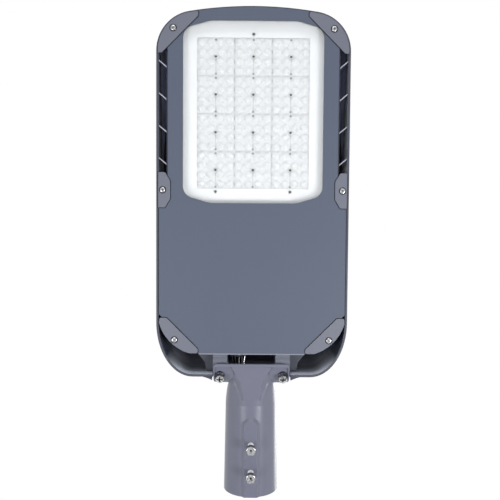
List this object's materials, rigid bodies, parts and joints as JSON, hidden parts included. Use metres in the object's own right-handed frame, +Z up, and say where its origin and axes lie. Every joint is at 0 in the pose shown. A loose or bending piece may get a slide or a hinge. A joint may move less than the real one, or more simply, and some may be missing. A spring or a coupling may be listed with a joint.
{
  "type": "led street light head",
  "caption": "Flat die-cast LED street light head with a glazed lens field, ribbed side slots, screwed trim plates and a tilting spigot adapter for a 60 mm pole.",
  "frame": {"origin": "centre of the spigot adapter's mouth, on the axis of its bore", "axes": "+Y out of the mouth along the bore, +Z up as installed, the light shines towards -Z, the nose is at -Y"},
  "size_m": [0.256, 0.6545, 0.1143],
  "materials": {
    "housing_paint": "satin grey powder coat on die-cast aluminium",
    "cover_paint": "satin grey powder coat on die-cast aluminium",
    "plate_paint": "light grey powder coat on die-cast aluminium",
    "adapter_paint": "light grey powder coat on die-cast aluminium",
    "stainless": "bright stainless steel",
    "zinc_steel": "zinc plated sheet steel",
    "glass": "clear toughened glass",
    "lens_plastic": "clear moulded polycarbonate",
    "white_plastic": "matt white reflector sheet",
    "board_white": "white solder mask on aluminium board",
    "chip_yellow": "LED phosphor",
    "silicone": "pale translucent silicone rubber",
    "case_metal": "plain extruded aluminium case",
    "plated_brass": "nickel plated brass",
    "cream_plastic": "pale moulded plastic",
    "lead_jacket": "black cable jacket"
  },
  "bodies": {
    "adapter": {"spigot_adapter": "adapter_paint", "clamp_screws": "stainless"},
    "head": {"upper_housing": "housing_paint", "lower_cover": "cover_paint", "housing_gasket": "silicone", "window_gasket": "silicone", "window_glass": "glass", "white_reflector": "white_plastic", "reflector_screws": "stainless", "led_board_left": "board_white", "led_board_centre": "board_white", "led_board_right": "board_white", "led_chips_left": "chip_yellow", "led_chips_centre": "chip_yellow", "led_chips_right": "chip_yellow", "lens_module_1_1": "lens_plastic", "lens_module_1_2": "lens_plastic", "lens_module_1_3": "lens_plastic", "lens_module_1_4": "lens_plastic", "lens_module_2_1": "lens_plastic", "lens_module_2_2": "lens_plastic", "lens_module_2_3": "lens_plastic", "lens_module_2_4": "lens_plastic", "lens_module_3_1": "lens_plastic", "lens_module_3_2": "lens_plastic", "lens_module_3_3": "lens_plastic", "lens_module_3_4": "lens_plastic", "lens_screws": "stainless", "front_plate_left": "plate_paint", "front_plate_right": "plate_paint", "side_plate_left": "plate_paint", "side_plate_right": "plate_paint", "rear_plate_left": "plate_paint", "rear_plate_right": "plate_paint", "plate_screws": "stainless", "gear_tray": "zinc_steel", "gear_tray_screws": "stainless", "led_driver": "case_metal", "driver_screws": "stainless", "surge_protector": "cream_plastic", "terminal_block": "cream_plastic", "driver_lead": "lead_jacket", "mains_lead": "lead_jacket", "cable_gland": "plated_brass", "gland_nut": "plated_brass", "tilt_bolts": "stainless", "tilt_washers": "stainless", "tilt_spring_washers": "stainless"}
  },
  "joints": [
    {"name": "head_tilt", "type": "hinge", "parent": "adapter", "child": "head", "pos_m": [0, -0.179, -0.002], "axis": [1, 0, 0], "range_deg": [-4, 16]}
  ]
}
